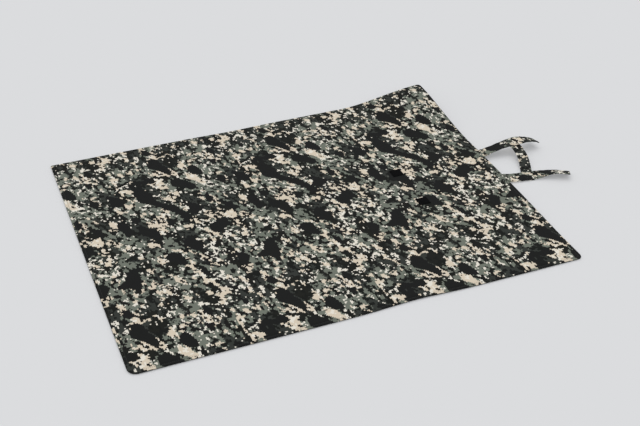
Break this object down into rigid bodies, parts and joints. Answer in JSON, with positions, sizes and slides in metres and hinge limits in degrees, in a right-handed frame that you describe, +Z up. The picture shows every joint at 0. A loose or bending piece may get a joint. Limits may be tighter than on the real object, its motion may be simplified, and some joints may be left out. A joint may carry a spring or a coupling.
{
  "type": "roll-up training mat",
  "caption": "Flat padded pet training mat that rolls up, with hook-and-loop straps and a carry handle at one end.",
  "frame": {"origin": "middle of the mat's underside, not counting the straps", "axes": "+X towards the end with the straps, +Y towards the back strap, +Z up through the printed cover"},
  "size_m": [1.0671, 0.7366, 0.022],
  "materials": {
    "printed_canvas": "matte digital camouflage print on plain-weave canvas",
    "foam_padding": "matte closed-cell foam sheet",
    "dark_backing": "matte dark woven backing",
    "loop_tape": "matte brushed loop pile",
    "hook_tape": "satin moulded hooks",
    "thread": "matte twisted thread"
  },
  "bodies": {
    "strip_01": {"cover_01": "printed_canvas", "padding_01": "foam_padding", "backing_01": "dark_backing"},
    "strip_02": {"cover_02": "printed_canvas", "padding_02": "foam_padding", "backing_02": "dark_backing"},
    "strip_03": {"cover_03": "printed_canvas", "padding_03": "foam_padding", "backing_03": "dark_backing"},
    "strip_04": {"cover_04": "printed_canvas", "padding_04": "foam_padding", "backing_04": "dark_backing"},
    "strip_05": {"cover_05": "printed_canvas", "padding_05": "foam_padding", "backing_05": "dark_backing"},
    "strip_06": {"cover_06": "printed_canvas", "padding_06": "foam_padding", "backing_06": "dark_backing"},
    "strip_07": {"cover_07": "printed_canvas", "padding_07": "foam_padding", "backing_07": "dark_backing"},
    "strip_08": {"cover_08": "printed_canvas", "padding_08": "foam_padding", "backing_08": "dark_backing"},
    "strip_09": {"cover_09": "printed_canvas", "padding_09": "foam_padding", "backing_09": "dark_backing"},
    "strip_10": {"cover_10": "printed_canvas", "padding_10": "foam_padding", "backing_10": "dark_backing"},
    "strip_11": {"cover_11": "printed_canvas", "padding_11": "foam_padding", "backing_11": "dark_backing", "back_loop_patch": "loop_tape", "front_loop_patch": "loop_tape"},
    "strip_12": {"cover_12": "printed_canvas", "padding_12": "foam_padding", "backing_12": "dark_backing"},
    "strip_13": {"cover_13": "printed_canvas", "padding_13": "foam_padding", "backing_13": "dark_backing", "back_strap_root": "printed_canvas", "front_strap_root": "printed_canvas"},
    "front_strap": {"front_strap": "printed_canvas", "handle": "printed_canvas", "front_box_stitch": "thread"},
    "back_strap": {"back_strap": "printed_canvas", "back_box_stitch": "thread"},
    "front_tail": {"front_strap_tail": "printed_canvas", "front_hook_patch": "hook_tape"},
    "back_tail": {"back_strap_tail": "printed_canvas", "back_hook_patch": "hook_tape"}
  },
  "joints": [
    {"name": "strap_wrap", "type": "hinge", "parent": "strip_13", "child": "front_strap", "pos_m": [0.4592, 0, 0.0027], "axis": [0, 1, 0], "range_deg": [-90, 90]},
    {"name": "back_strap_flatten", "type": "hinge", "parent": "front_strap", "child": "back_strap", "pos_m": [0.4592, 0, 0.0027], "axis": [0, 1, 0], "range_deg": [-4, 11.2]},
    {"name": "front_tail_fold", "type": "hinge", "parent": "front_strap", "child": "front_tail", "pos_m": [0.55214, 0, 0.0027], "axis": [0, 1, 0], "range_deg": [-90, 90]},
    {"name": "back_tail_fold", "type": "hinge", "parent": "back_strap", "child": "back_tail", "pos_m": [0.55027, 0, 0.02123], "axis": [0, 1, 0], "range_deg": [-90, 66.8]},
    {"name": "crease_12", "type": "hinge", "parent": "strip_13", "child": "strip_12", "pos_m": [0.37186, 0, 0], "axis": [0, -1, 0], "range_deg": [0, 90]},
    {"name": "crease_11", "type": "hinge", "parent": "strip_12", "child": "strip_11", "pos_m": [0.28902, 0, 0], "axis": [0, -1, 0], "range_deg": [0, 90]},
    {"name": "crease_10", "type": "hinge", "parent": "strip_11", "child": "strip_10", "pos_m": [0.20869, 0, 0], "axis": [0, -1, 0], "range_deg": [0, 90]},
    {"name": "crease_09", "type": "hinge", "parent": "strip_10", "child": "strip_09", "pos_m": [0.13085, 0, 0], "axis": [0, -1, 0], "range_deg": [0, 90]},
    {"name": "crease_08", "type": "hinge", "parent": "strip_09", "child": "strip_08", "pos_m": [0.05551, 0, 0], "axis": [0, -1, 0], "range_deg": [0, 90]},
    {"name": "crease_07", "type": "hinge", "parent": "strip_08", "child": "strip_07", "pos_m": [-0.01733, 0, 0], "axis": [0, -1, 0], "range_deg": [0, 90]},
    {"name": "crease_06", "type": "hinge", "parent": "strip_07", "child": "strip_06", "pos_m": [-0.08767, 0, 0], "axis": [0, -1, 0], "range_deg": [0, 90]},
    {"name": "crease_05", "type": "hinge", "parent": "strip_06", "child": "strip_05", "pos_m": [-0.15551, 0, 0], "axis": [0, -1, 0], "range_deg": [0, 90]},
    {"name": "crease_04", "type": "hinge", "parent": "strip_05", "child": "strip_04", "pos_m": [-0.22085, 0, 0], "axis": [0, -1, 0], "range_deg": [0, 90]},
    {"name": "crease_03", "type": "hinge", "parent": "strip_04", "child": "strip_03", "pos_m": [-0.28369, 0, 0], "axis": [0, -1, 0], "range_deg": [0, 90]},
    {"name": "crease_02", "type": "hinge", "parent": "strip_03", "child": "strip_02", "pos_m": [-0.34402, 0, 0], "axis": [0, -1, 0], "range_deg": [0, 90]},
    {"name": "crease_01", "type": "hinge", "parent": "strip_02", "child": "strip_01", "pos_m": [-0.40186, 0, 0], "axis": [0, -1, 0], "range_deg": [0, 90]}
  ]
}
